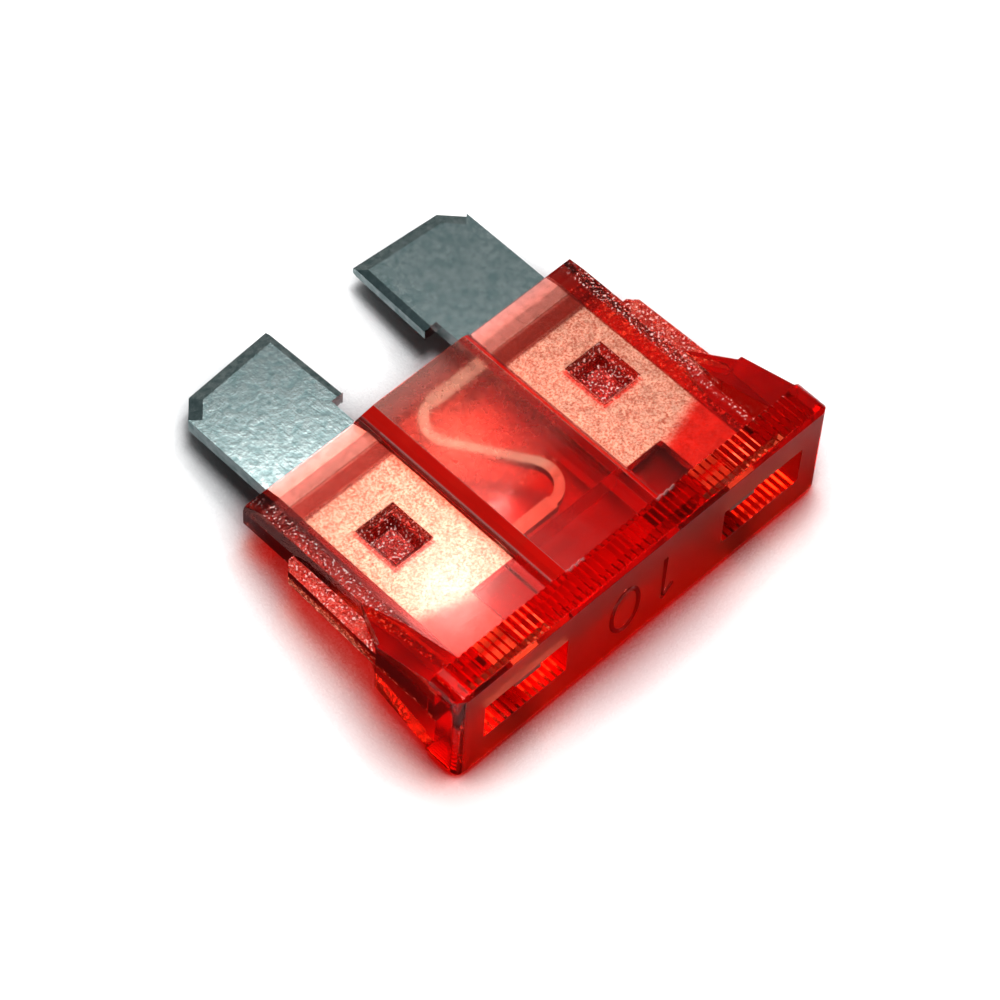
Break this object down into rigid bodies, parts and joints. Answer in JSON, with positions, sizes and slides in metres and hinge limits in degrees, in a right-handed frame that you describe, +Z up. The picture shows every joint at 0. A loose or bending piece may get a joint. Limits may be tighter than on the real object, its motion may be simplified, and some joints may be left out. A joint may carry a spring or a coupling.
{
  "type": "blade fuse",
  "caption": "Flat plug-in car fuse of the standard blade size: see-through red moulded body, ribbed grip head, and one zinc stamping with flat blades and an S-shaped link that melts.",
  "frame": {"origin": "on the ground under the middle of the fuse's box, as it lies on its broad face", "axes": "+X across the blades along the head, +Y from the head to the blade tips, +Z up through the thickness"},
  "size_m": [0.0194, 0.0182, 0.0051],
  "materials": {
    "red_plastic": "see-through red moulding, glossy outside, finely spark-textured pocket floors and rails",
    "zinc": "bare zinc strip with a fine mottled spangle and coined edges"
  },
  "bodies": {
    "root": {"housing": "red_plastic", "fuse_element": "zinc"}
  },
  "joints": []
}
